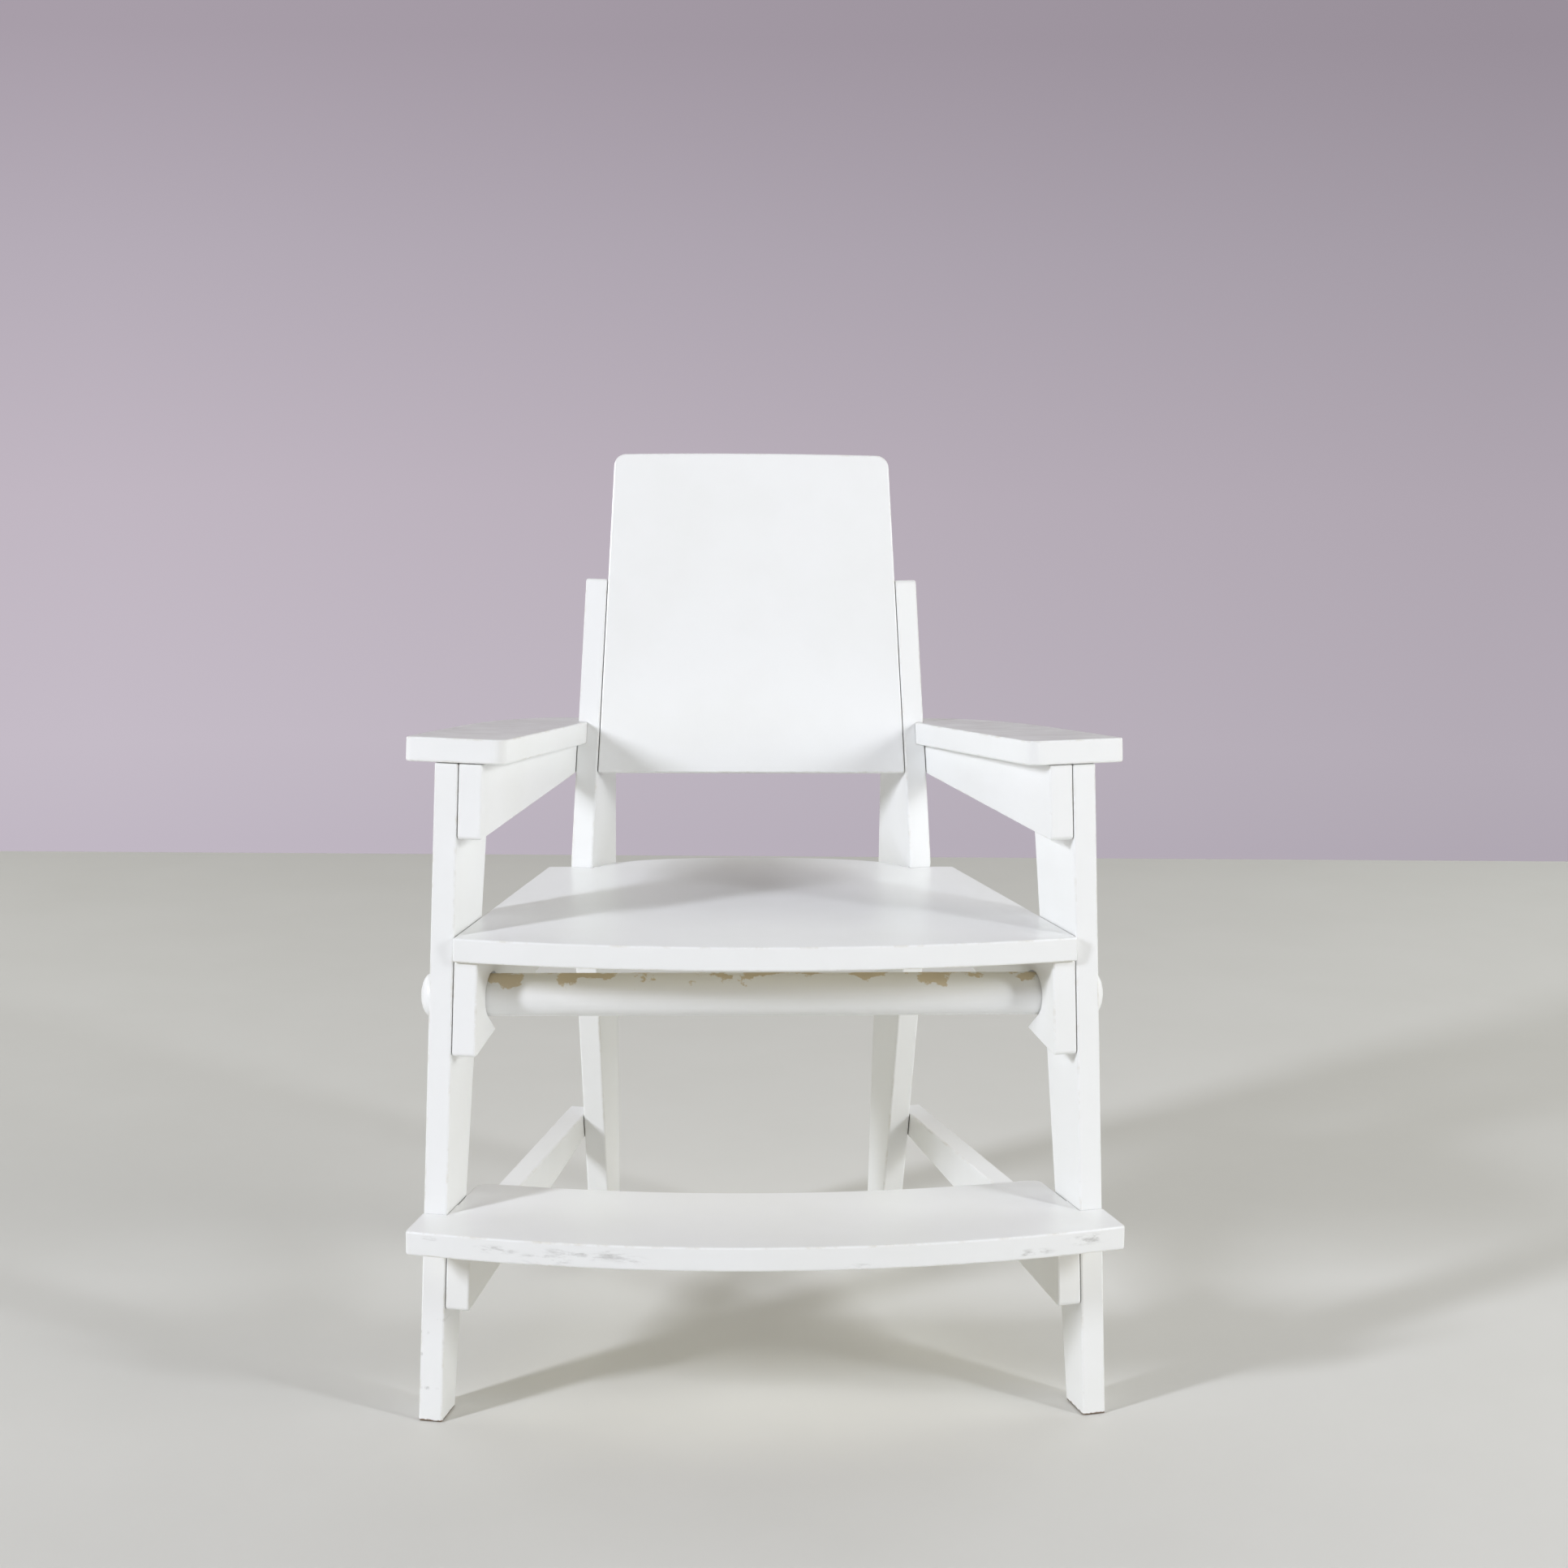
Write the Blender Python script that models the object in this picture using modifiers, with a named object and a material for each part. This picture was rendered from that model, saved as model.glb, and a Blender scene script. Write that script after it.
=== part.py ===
"""Kids chair of white painted boards: two side frames that turn in towards the back,
a seat, a foot board, two arms and a back panel between them, and one round cross bar.

Each side frame is three boards thick. Counted from outside: the front leg, then the
arm rail, seat rail and foot rail, then the rear leg. Inside a side frame a point has
s (distance back from the toe of the front leg), n (distance in from the outer face)
and z (height). The chair faces -Y, +X is its left-to-right line and +Z is up.
"""
import math

import bmesh
import bpy
from mathutils import Matrix, Vector

MM = 0.001

# The boards
BOARD = 18.0 * MM
CLEAR = 0.3 * MM
BOARD_FIT = 0.4 * MM
SOFT_EDGE = 1.4 * MM
OVERRUN = 6.0 * MM
CORNER = 3.0 * MM
WELD = 0.01 * MM
EDGE_ANGLE = math.radians(40.0)
FLAT_ANGLE = math.radians(0.05)
ROUND_SAG = 0.05 * MM

# The stance, with the arms, posts and panel set above the seat
FOOT_SPREAD = 511.0 * MM
TURN_IN = math.radians(13.85)
SEAT_HEIGHT = 358.0 * MM
STEP_HEIGHT = 154.0 * MM
ARM_RISE = 144.5 * MM
ARM_DROP = math.radians(5.8)
POST_RISE = 231.5 * MM
PANEL_RISE = 76.5 * MM
PANEL_HEIGHT = 256.5 * MM

# Front leg
LEG_RAKE = math.radians(6.5)
TOE_WIDTH = 33.0 * MM
LEG_TOP_WIDTH = 86.0 * MM

# Rear leg
KNEE_REACH = 301.0 * MM
KNEE_DROP = 2.0 * MM
KNEE_WIDTH = 82.5 * MM
KNEE_ROUND = 70.0 * MM
POST_RAKE = math.radians(12.3)
POST_TOP_WIDTH = 31.0 * MM
HEEL_REACH = 400.0 * MM
HEEL_WIDTH = 32.5 * MM

# Rails, deep at the front and slim at the back
ARM_RAIL_DEPTH = 55.5 * MM
ARM_RAIL_TAIL = 17.5 * MM
ARM_RAIL_STOP = 8.0 * MM
SEAT_RAIL_DEPTH = 70.0 * MM
SEAT_RAIL_TAIL = 20.0 * MM
FOOT_RAIL_DEPTH = 52.5 * MM
FOOT_RAIL_TAIL = 18.0 * MM
RAIL_STOP = 24.0 * MM

# Cross bar through the front legs. The seat rails hang on it by hook slots.
BAR_DIA = 32.0 * MM
BAR_BELOW = 51.0 * MM
BAR_LEG_SHARE = 0.512
BAR_PROUD = 15.0 * MM
BAR_DOME = 7.5 * MM
SLOT_DROP = math.radians(37.0)
SLOT_ROOM = 1.5 * MM

# Seat: its front corners lead the legs, its rear corners lap the rear legs
SEAT_LEAD = 5.5 * MM
SEAT_BOW = 30.0 * MM
SEAT_LAP = 3.5 * MM
SEAT_TAIL = 38.0 * MM
SEAT_TAIL_IN = 4.0 * MM

# Foot board: how far it goes in front of the front legs, behind them and outside them
STEP_LEAD = 39.5 * MM
STEP_BOW = 42.5 * MM
STEP_PROUD = 1.0 * MM
STEP_TAIL = 21.0 * MM
STEP_HOLLOW = 26.5 * MM
STEP_CORNER = 12.0 * MM
NOSE_CORNER = 3.0 * MM

# Arm board: its inner edge lies outside the rear leg's inner face by the insets
ARM_LEAD = 2.5 * MM
ARM_OUT = 22.0 * MM
ARM_SWELL = 5.0 * MM
ARM_INSET = 1.6 * MM
ARM_INSET_BACK = 12.0 * MM
ARM_LENGTH = 326.0 * MM
ARM_BEND = 195.0 * MM
ARM_TAIL = 21.0 * MM
ARM_CORNER = 10.0 * MM
ARM_NOSE_CORNER = 5.0 * MM
ARM_CURVE_SHARES = (0.6, 0.55)

# Back panel
PANEL_CORNER = 10.0 * MM
PANEL_ARCH = 1.2 * MM

# Wooden dowel pins inside the joints, with the wood left beyond a pin's end
PIN_DIA = 8.0 * MM
PIN_WALL = 5.0 * MM
PIN_FIT = 0.3 * MM

# Places of the pins, as shares of the boards that they join
ARM_RAIL_PIN_SHARES = (0.24, 0.76)
ARM_RAIL_PIN_RISE_SHARE = 0.45
ARM_RAIL_REAR_PIN_SHARE = 0.5
SEAT_RAIL_PIN_IN = 11.0 * MM
SEAT_RAIL_PIN_SHARES = (0.2, 0.87)
SEAT_RAIL_REAR_PIN_SHARE = 0.45
FOOT_RAIL_PIN_SHARES = (0.3, 0.75)
FOOT_RAIL_REAR_PIN_SHARE = 0.5
ARM_BOARD_PIN_SHARE = 0.58
ARM_LEG_PIN_SHARE = 0.5
SEAT_PIN_SHARES = (0.42, 0.82)
STEP_PIN_SHARES = (0.26, 0.8)
PANEL_PIN_SHARES = (0.25, 0.75)

CURVE_STEPS = 32
SWELL_STEPS = 6
BAR_SIDES = 48
DOME_STEPS = 5
PIN_SIDES = 10

HALF = FOOT_SPREAD / 2
SIN = math.sin(TURN_IN)
COS = math.cos(TURN_IN)
RAIL_IN = BOARD + CLEAR
POST_IN = RAIL_IN + BOARD + CLEAR
INSIDE = POST_IN + BOARD
KNEE_HEIGHT = SEAT_HEIGHT - KNEE_DROP
POST_HEIGHT = SEAT_HEIGHT + POST_RISE
SEAT_UNDER = SEAT_HEIGHT - BOARD
STEP_UNDER = STEP_HEIGHT - BOARD
ARM_UNDER = SEAT_HEIGHT + ARM_RISE - BOARD / math.cos(ARM_DROP)
ARM_NOSE = ARM_UNDER * math.tan(LEG_RAKE) - ARM_LEAD
PANEL_BOTTOM = SEAT_HEIGHT + PANEL_RISE
PANEL_TOP = PANEL_BOTTOM + PANEL_HEIGHT
BAR_HEIGHT = SEAT_HEIGHT - BAR_BELOW
PIN_LENGTH = 2 * (BOARD - PIN_WALL)

WHITE = (0.80, 0.80, 0.78)
BEECH = (0.62, 0.43, 0.26)


# Lines of the side frame: where each edge lies at a height z.

def leg_front(z):
    return z * math.tan(LEG_RAKE)


def leg_back(z):
    top = ARM_UNDER
    return TOE_WIDTH + z * (math.tan(LEG_RAKE) + (LEG_TOP_WIDTH - TOE_WIDTH) / top)


def post_front(z):
    if z >= KNEE_HEIGHT:
        return KNEE_REACH + (z - KNEE_HEIGHT) * math.tan(POST_RAKE)
    heel = HEEL_REACH - HEEL_WIDTH
    return heel + (KNEE_REACH - heel) * z / KNEE_HEIGHT


def post_top_back():
    """Rear corner of the post's top, which is cut square to the post's front edge."""
    s = post_front(POST_HEIGHT) + POST_TOP_WIDTH * math.cos(POST_RAKE)
    return (s, POST_HEIGHT - POST_TOP_WIDTH * math.sin(POST_RAKE))


def post_back(z):
    knee = KNEE_REACH + KNEE_WIDTH
    if z <= KNEE_HEIGHT:
        return HEEL_REACH + (knee - HEEL_REACH) * z / KNEE_HEIGHT
    top, high = post_top_back()
    return knee + (top - knee) * (z - KNEE_HEIGHT) / (high - KNEE_HEIGHT)


def arm_under(s):
    """Height of the arm board's underside, which drops towards the back."""
    return ARM_UNDER - (s - ARM_NOSE) * math.tan(ARM_DROP)


def meet_arm(edge):
    """Point where a leg's edge line reaches the underside of the arm board."""
    z = ARM_UNDER
    for _ in range(CURVE_STEPS):
        z = arm_under(edge(z)) - CLEAR
    return (edge(z), z)


def share(a, b, t):
    return a + (b - a) * t


def plan(s, n):
    """Plan point of a place on the left side frame, measured back from the toes."""
    return (-HALF + s * SIN + n * COS, s * COS - n * SIN)


def side_x(y, n):
    """Left side's X at a distance y behind the toes, on the layer n."""
    return -HALF + y * math.tan(TURN_IN) + n / COS


# Places that follow from those lines, as distances back from the toes.

SEAT_NOSE = plan(leg_front(SEAT_HEIGHT), RAIL_IN)[1] - SEAT_LEAD
SEAT_SET = plan(KNEE_REACH, POST_IN)[1] + SEAT_LAP
STEP_NOSE = plan(leg_front(STEP_HEIGHT), 0.0)[1] - STEP_LEAD
STEP_BACK = plan(leg_back(STEP_HEIGHT), 0.0)[1] + STEP_TAIL
BAR_BACK = plan(share(leg_front(BAR_HEIGHT), leg_back(BAR_HEIGHT), BAR_LEG_SHARE), BOARD / 2)[1]
BAR_SPAN = 2 * (BAR_PROUD - side_x(BAR_BACK, 0.0))
REAR_MOST = plan(HEEL_REACH, POST_IN)[1]
FRONT_MOST = STEP_NOSE - STEP_BOW
CENTRE_BACK = (REAR_MOST + FRONT_MOST) / 2


# Frames of reference.

# Turns a drawing's x and y into a side frame's s and z, and its thickness into n.
ON_EDGE = Matrix(((0, 0, 1, 0), (1, 0, 0, 0), (0, 1, 0, 0), (0, 0, 0, 1)))
MIRROR = Matrix.Scale(-1.0, 4, (1.0, 0.0, 0.0))


def side_matrix():
    """Local x is n (inward), local y is s (back), local z is up."""
    return Matrix.Translation((-HALF, -CENTRE_BACK, 0.0)) @ Matrix.Rotation(-TURN_IN, 4, "Z")


def upright(inset):
    """Draws an outline of (s, z) points on a side frame, its board from inset inward."""
    return side_matrix() @ Matrix.Translation((inset + BOARD / 2, 0.0, 0.0)) @ ON_EDGE


def flat(height):
    """Draws an outline of plan points, measured back from the toes, at a height."""
    return Matrix.Translation((0.0, -CENTRE_BACK, height - BOARD / 2))


# Outlines.

def rounded(points, radii):
    """The polygon with each corner turned into an arc of its radius, whose flats stray
    from the true arc by ROUND_SAG at most."""
    out = []
    count = len(points)
    for i, here in enumerate(points):
        radius = radii[i]
        p = Vector(here)
        if radius <= 0:
            out.append(tuple(p))
            continue
        a = Vector(points[i - 1]) - p
        b = Vector(points[(i + 1) % count]) - p
        half = a.angle(b) / 2
        reach = min(radius / math.tan(half), a.length / 2, b.length / 2)
        radius = reach * math.tan(half)
        a.normalize()
        b.normalize()
        centre = p + (a + b).normalized() * (radius / math.sin(half))
        first = p + a * reach - centre
        sweep = first.angle_signed(p + b * reach - centre)
        steps = math.ceil(abs(sweep) / (2 * math.acos(1 - ROUND_SAG / radius)))
        for k in range(steps + 1):
            turn = Matrix.Rotation(-sweep * k / steps, 2)
            out.append(tuple(centre + turn @ first))
    return out


def bow(x0, x1, y_edge, y_mid, steps):
    """Arc from (x0, y_edge) to (x1, y_edge) through the middle at y_mid."""
    half = abs(x1 - x0) / 2
    rise = y_mid - y_edge
    radius = (half * half + rise * rise) / (2 * rise)
    centre = Vector(((x0 + x1) / 2, y_mid - radius))
    start = math.atan2(y_edge - centre.y, x0 - centre.x)
    end = math.atan2(y_edge - centre.y, x1 - centre.x)
    if end - start > math.pi:
        end -= 2 * math.pi
    if start - end > math.pi:
        end += 2 * math.pi
    out = []
    for k in range(steps + 1):
        turn = share(start, end, k / steps)
        out.append((centre.x + abs(radius) * math.cos(turn), centre.y + abs(radius) * math.sin(turn)))
    return out


# Making boards.

def paint(obj, name, colour, rough):
    mat = bpy.data.materials.new(name)
    mat.use_nodes = True
    node = mat.node_tree.nodes["Principled BSDF"]
    node.inputs["Base Color"].default_value = (*colour, 1.0)
    node.inputs["Roughness"].default_value = rough
    node.inputs["Metallic"].default_value = 0.0
    obj.data.materials.clear()
    obj.data.materials.append(mat)


def new_object(name, mesh, matrix, collection):
    obj = bpy.data.objects.new(name, mesh)
    obj.matrix_world = matrix
    collection.objects.link(obj)
    return obj


def baked(obj):
    """Mesh of the object as its modifiers leave it."""
    bpy.context.view_layer.update()
    graph = bpy.context.evaluated_depsgraph_get()
    return bpy.data.meshes.new_from_object(obj.evaluated_get(graph))


def outline_mesh(name, points, thickness):
    """Closed mesh of a flat outline, drawn as a filled 2D curve and given a thickness."""
    curve = bpy.data.curves.new(name, "CURVE")
    curve.dimensions = "2D"
    curve.fill_mode = "BOTH"
    curve.extrude = thickness / 2
    line = curve.splines.new("POLY")
    line.points.add(len(points) - 1)
    for point, place in zip(line.points, points):
        point.co = (place[0], place[1], 0.0, 1.0)
    line.use_cyclic_u = True
    guide = bpy.data.objects.new(name, curve)
    bpy.context.scene.collection.objects.link(guide)
    mesh = baked(guide)
    bpy.data.objects.remove(guide)
    bpy.data.curves.remove(curve)
    shape = bmesh.new()
    shape.from_mesh(mesh)
    bmesh.ops.remove_doubles(shape, verts=shape.verts, dist=WELD)
    bmesh.ops.recalc_face_normals(shape, faces=shape.faces)
    bmesh.ops.dissolve_limit(
        shape, angle_limit=FLAT_ANGLE, verts=shape.verts, edges=shape.edges)
    shape.to_mesh(mesh)
    shape.free()
    return mesh


def soften(obj):
    """Rounds the board's sharp edges, as its paint and sanding leave them."""
    bevel = obj.modifiers.new("soft_edges", "BEVEL")
    bevel.width = SOFT_EDGE
    bevel.segments = 2
    bevel.limit_method = "ANGLE"
    bevel.angle_limit = EDGE_ANGLE
    bevel.use_clamp_overlap = True
    obj.data = baked(obj)
    obj.modifiers.clear()


def board(name, points, matrix, parts):
    obj = new_object(name, outline_mesh(name, points, BOARD), matrix, parts)
    soften(obj)
    paint(obj, name + "_paint", WHITE, 0.38)
    return obj


def cylinder(radius, length, sides):
    """Cylinder along local Z, centred."""
    shape = bmesh.new()
    bmesh.ops.create_cone(
        shape, cap_ends=True, segments=sides, radius1=radius, radius2=radius, depth=length)
    return shape


def joined(name, shapes, matrices):
    """One mesh of several separate solids, each put in its place."""
    whole = bmesh.new()
    for shape, matrix in zip(shapes, matrices):
        copy = shape.copy()
        bmesh.ops.transform(copy, matrix=matrix, verts=copy.verts)
        mesh = bpy.data.meshes.new(name)
        copy.to_mesh(mesh)
        copy.free()
        whole.from_mesh(mesh)
        bpy.data.meshes.remove(mesh)
    mesh = bpy.data.meshes.new(name)
    whole.to_mesh(mesh)
    whole.free()
    return mesh


def cut(obj, cutter):
    """Takes a cutter's mesh out of a board, then frees the board's modifier."""
    change = obj.modifiers.new("cut", "BOOLEAN")
    change.operation = "DIFFERENCE"
    change.solver = "EXACT"
    change.object = cutter
    obj.data = baked(obj)
    obj.modifiers.clear()


def cutter_object(name, mesh, matrix, cutters):
    obj = new_object(name, mesh, matrix, cutters)
    obj.hide_render = True
    obj.display_type = "WIRE"
    return obj


def from_object(obj):
    """The object's mesh in world space."""
    shape = bmesh.new()
    shape.from_mesh(obj.data)
    bmesh.ops.transform(shape, matrix=obj.matrix_world, verts=shape.verts)
    return shape


def flip(mesh):
    shape = bmesh.new()
    shape.from_mesh(mesh)
    bmesh.ops.reverse_faces(shape, faces=shape.faces)
    shape.to_mesh(mesh)
    shape.free()


def mirrored(obj, name, parts):
    """The right-hand twin of a left-hand board."""
    shape = bmesh.new()
    shape.from_mesh(obj.data)
    bmesh.ops.transform(shape, matrix=MIRROR @ obj.matrix_world, verts=shape.verts)
    bmesh.ops.reverse_faces(shape, faces=shape.faces)
    mesh = bpy.data.meshes.new(name)
    shape.to_mesh(mesh)
    shape.free()
    twin = new_object(name, mesh, Matrix.Identity(4), parts)
    paint(twin, name + "_paint", WHITE, 0.38)
    return twin


# Outlines of the side frame's boards, as (s, z) points.

def front_leg_outline():
    return [(leg_front(0.0), 0.0), (leg_back(0.0), 0.0), meet_arm(leg_back), meet_arm(leg_front)]


def rear_leg_outline(grow=0.0):
    top_s, top_z = post_top_back()
    points = [
        (post_front(0.0) - grow, -grow),
        (post_back(0.0) + grow, -grow),
        (post_back(KNEE_HEIGHT) + grow, KNEE_HEIGHT),
        (top_s + grow, top_z + grow),
        (post_front(POST_HEIGHT) - grow, POST_HEIGHT + grow),
        (post_front(KNEE_HEIGHT) - grow, KNEE_HEIGHT),
    ]
    return rounded(points, (0.0, 0.0, KNEE_ROUND, CORNER, CORNER, KNEE_ROUND))


def rail_outline(top_front, top_back, front, back, depth, tail):
    """Rail flush with the front leg's front edge, its lower edge rising to the back."""
    low = top_front - depth
    points = [
        (leg_front(low), low),
        (back, top_back - tail),
        (back, top_back),
        (front, top_front),
    ]
    return rounded(points, (CORNER, CORNER, 0.0, 0.0))


def arm_rail_end():
    return post_back(ARM_UNDER) - ARM_RAIL_STOP


def arm_rail_outline():
    front, top = meet_arm(leg_front)
    back = arm_rail_end()
    return rail_outline(top, arm_under(back) - CLEAR, front, back, ARM_RAIL_DEPTH, ARM_RAIL_TAIL)


def rail_end(z):
    return post_back(z) - RAIL_STOP


def seat_rail_outline():
    top = SEAT_UNDER - CLEAR
    return rail_outline(top, top, leg_front(top), rail_end(top), SEAT_RAIL_DEPTH, SEAT_RAIL_TAIL)


def foot_rail_outline():
    top = STEP_UNDER - CLEAR
    return rail_outline(top, top, leg_front(top), rail_end(top), FOOT_RAIL_DEPTH, FOOT_RAIL_TAIL)


def rail_low(top_front, depth, tail, back, top_back, s):
    """Height of a rail's lower edge at s."""
    low = top_front - depth
    start = leg_front(low)
    return share(low, top_back - tail, (s - start) / (back - start))


# Outlines of the boards between the side frames, as plan points.

def seat_outline():
    side = RAIL_IN - CLEAR + BOARD_FIT
    front = bow(side_x(SEAT_NOSE, side), -side_x(SEAT_NOSE, side), SEAT_NOSE, SEAT_NOSE - SEAT_BOW,
                CURVE_STEPS)
    start = -side_x(SEAT_SET, INSIDE) - SEAT_TAIL_IN
    tail = []
    for k in range(CURVE_STEPS + 1):
        turn = math.pi * k / CURVE_STEPS
        tail.append((start * math.cos(turn), SEAT_SET + SEAT_TAIL * math.sin(turn)))
    corner = (-side_x(SEAT_SET, side), SEAT_SET)
    other = (side_x(SEAT_SET, side), SEAT_SET)
    return front + [corner] + tail + [other]


def step_outline():
    side = RAIL_IN - CLEAR + BOARD_FIT
    nose = side_x(STEP_NOSE, -STEP_PROUD)
    front = bow(nose, -nose, STEP_NOSE, FRONT_MOST, CURVE_STEPS)
    mid_leg = (leg_front(STEP_HEIGHT) + leg_back(STEP_HEIGHT)) / 2
    ear = plan(mid_leg, -STEP_PROUD)
    neck = plan(mid_leg, side)
    corner = (side_x(STEP_BACK, side), STEP_BACK)
    inner = bow(-corner[0] - STEP_CORNER, corner[0] + STEP_CORNER, STEP_BACK,
                STEP_BACK - STEP_HOLLOW, CURVE_STEPS)
    right = [(-ear[0], ear[1]), (-neck[0], neck[1]), (-corner[0], corner[1])]
    left = [corner, neck, ear]
    points = front + right + inner + left
    radii = [0.0] * len(points)
    radii[0] = NOSE_CORNER
    radii[len(front) - 1] = NOSE_CORNER
    radii[len(front) + 2] = STEP_CORNER
    radii[len(points) - 3] = STEP_CORNER
    return rounded(points, radii)


def arm_outline():
    """Arm board as (n, s) points from its front edge, s measured along the board."""
    tail = (ARM_TAIL, ARM_LENGTH)
    outer = []
    for k in range(CURVE_STEPS + 1):
        t = k / CURVE_STEPS
        a = (-ARM_OUT - ARM_SWELL, ARM_BEND)
        b = (-ARM_OUT - ARM_SWELL / 2, share(ARM_BEND, ARM_LENGTH, ARM_CURVE_SHARES[0]))
        c = (share(-ARM_OUT, ARM_TAIL, ARM_CURVE_SHARES[1]), ARM_LENGTH)
        weights = ((1 - t) ** 3, 3 * t * (1 - t) ** 2, 3 * t * t * (1 - t), t ** 3)
        outer.append(tuple(
            sum(w * p[axis] for w, p in zip(weights, (a, b, c, tail))) for axis in (0, 1)))
    outer.reverse()
    swell = []
    for k in range(1, SWELL_STEPS):
        t = 1 - k / SWELL_STEPS
        swell.append((-ARM_OUT - ARM_SWELL * math.sin(t * math.pi / 2), t * ARM_BEND))
    inner = [(INSIDE - ARM_INSET, 0.0), (INSIDE - ARM_INSET_BACK, ARM_LENGTH)]
    points = [(-ARM_OUT, 0.0)] + inner + outer + swell
    radii = [0.0] * len(points)
    radii[0] = ARM_NOSE_CORNER
    radii[1] = ARM_CORNER
    return rounded(points, radii)


def panel_tilt():
    return math.atan(math.tan(POST_RAKE) * COS)


def panel_front(z):
    """Distance of the panel's front face behind the toes, flush with the posts."""
    return plan(post_front(z), INSIDE)[1]


def panel_half(y):
    return -side_x(y, INSIDE + BOARD_FIT)


def panel_outline():
    """Back panel as (x, v) points, v measured up its slope from the bottom edge."""
    length = (PANEL_TOP - PANEL_BOTTOM) / math.cos(panel_tilt())
    low = panel_half(panel_front(PANEL_BOTTOM))
    high = panel_half(panel_front(PANEL_TOP))
    arch = bow(high, -high, length - PANEL_ARCH, length, CURVE_STEPS)
    # The arch's points beside each corner are left out, to give its rounding room.
    top = [p for p in arch if abs(p[0]) < high - 2 * PANEL_CORNER]
    points = [(-low, 0.0), (low, 0.0), arch[0]] + top + [arch[-1]]
    radii = [0.0] * len(points)
    radii[2] = PANEL_CORNER
    radii[-1] = PANEL_CORNER
    return rounded(points, radii)


# Pins. Each list gives the left side's pins as matrices whose Z is the pin's axis.

def across(s, z, n):
    """A pin through the face between two layers of a side frame, centred at n."""
    turn = Matrix.Rotation(math.pi / 2, 4, "Y")
    return side_matrix() @ Matrix.Translation((n, s, z)) @ turn


def arm_rail_pins():
    faces = []
    front, top = meet_arm(leg_front)
    z = top - ARM_RAIL_DEPTH * (1 - ARM_RAIL_PIN_RISE_SHARE)
    for t in ARM_RAIL_PIN_SHARES:
        faces.append(across(share(leg_front(z), leg_back(z), t), z, RAIL_IN - CLEAR / 2))
    back = arm_rail_end()
    s = share(post_front(ARM_UNDER - BOARD), back, ARM_RAIL_REAR_PIN_SHARE)
    low = rail_low(top, ARM_RAIL_DEPTH, ARM_RAIL_TAIL, back, arm_under(back) - CLEAR, s)
    faces.append(across(s, (low + arm_under(s) - CLEAR) / 2, POST_IN - CLEAR / 2))
    return faces


def seat_rail_pins():
    faces = []
    top = SEAT_UNDER - CLEAR
    low = top - SEAT_RAIL_DEPTH
    for edge, inset, t in zip((leg_front, leg_back), (SEAT_RAIL_PIN_IN, -SEAT_RAIL_PIN_IN),
                              SEAT_RAIL_PIN_SHARES):
        z = share(low, top, t)
        faces.append(across(edge(z) + inset, z, RAIL_IN - CLEAR / 2))
    back = rail_end(top)
    s = share(post_front(top), back, SEAT_RAIL_REAR_PIN_SHARE)
    z = (rail_low(top, SEAT_RAIL_DEPTH, SEAT_RAIL_TAIL, back, top, s) + top) / 2
    faces.append(across(s, z, POST_IN - CLEAR / 2))
    return faces


def foot_rail_pins():
    faces = []
    top = STEP_UNDER - CLEAR
    z = top - FOOT_RAIL_DEPTH / 2
    for t in FOOT_RAIL_PIN_SHARES:
        faces.append(across(share(leg_front(z), leg_back(z), t), z, RAIL_IN - CLEAR / 2))
    back = rail_end(top)
    s = share(post_front(top), back, FOOT_RAIL_REAR_PIN_SHARE)
    z = (rail_low(top, FOOT_RAIL_DEPTH, FOOT_RAIL_TAIL, back, top, s) + top) / 2
    faces.append(across(s, z, POST_IN - CLEAR / 2))
    return faces


def arm_matrix():
    """Local x is n and local y runs back along the sloping arm board, from its nose."""
    place = Matrix.Translation((0.0, ARM_NOSE, ARM_UNDER))
    return side_matrix() @ place @ Matrix.Rotation(-ARM_DROP, 4, "X")


def arm_board_pins():
    faces = []
    rail = RAIL_IN + BOARD / 2
    s = ARM_LENGTH * ARM_BOARD_PIN_SHARE
    faces.append(arm_matrix() @ Matrix.Translation((rail, s, -CLEAR / 2)))
    z = ARM_UNDER
    s = share(leg_front(z), leg_back(z), ARM_LEG_PIN_SHARE) - ARM_NOSE
    faces.append(arm_matrix() @ Matrix.Translation((BOARD / 2, s, -CLEAR / 2)))
    return faces


def standing(s, z):
    """A pin between a rail and the flat board on it."""
    return side_matrix() @ Matrix.Translation((RAIL_IN + BOARD / 2, s, z - CLEAR / 2))


def seat_pins():
    back = KNEE_REACH
    return [standing(share(leg_front(SEAT_HEIGHT), back, t), SEAT_UNDER) for t in SEAT_PIN_SHARES]


def step_pins():
    start = leg_front(STEP_HEIGHT)
    return [standing(share(start, STEP_BACK, t), STEP_UNDER) for t in STEP_PIN_SHARES]


def panel_pins():
    """Pins from the posts into the panel's side edges."""
    faces = []
    for t in PANEL_PIN_SHARES:
        z = share(PANEL_BOTTOM, POST_HEIGHT, t)
        s = post_front(z) + BOARD / 2 / math.cos(POST_RAKE)
        faces.append(across(s, z, INSIDE + BOARD_FIT / 2))
    return faces


def drill(name, boards, faces, cutters):
    """Blind holes for a row of pins in the boards that they join."""
    shape = cylinder(PIN_DIA / 2 + PIN_FIT, PIN_LENGTH + 2 * PIN_FIT, PIN_SIDES)
    mesh = joined(name, [shape] * len(faces), faces)
    shape.free()
    cutter = cutter_object(name, mesh, Matrix.Identity(4), cutters)
    for obj in boards:
        cut(obj, cutter)


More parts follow.
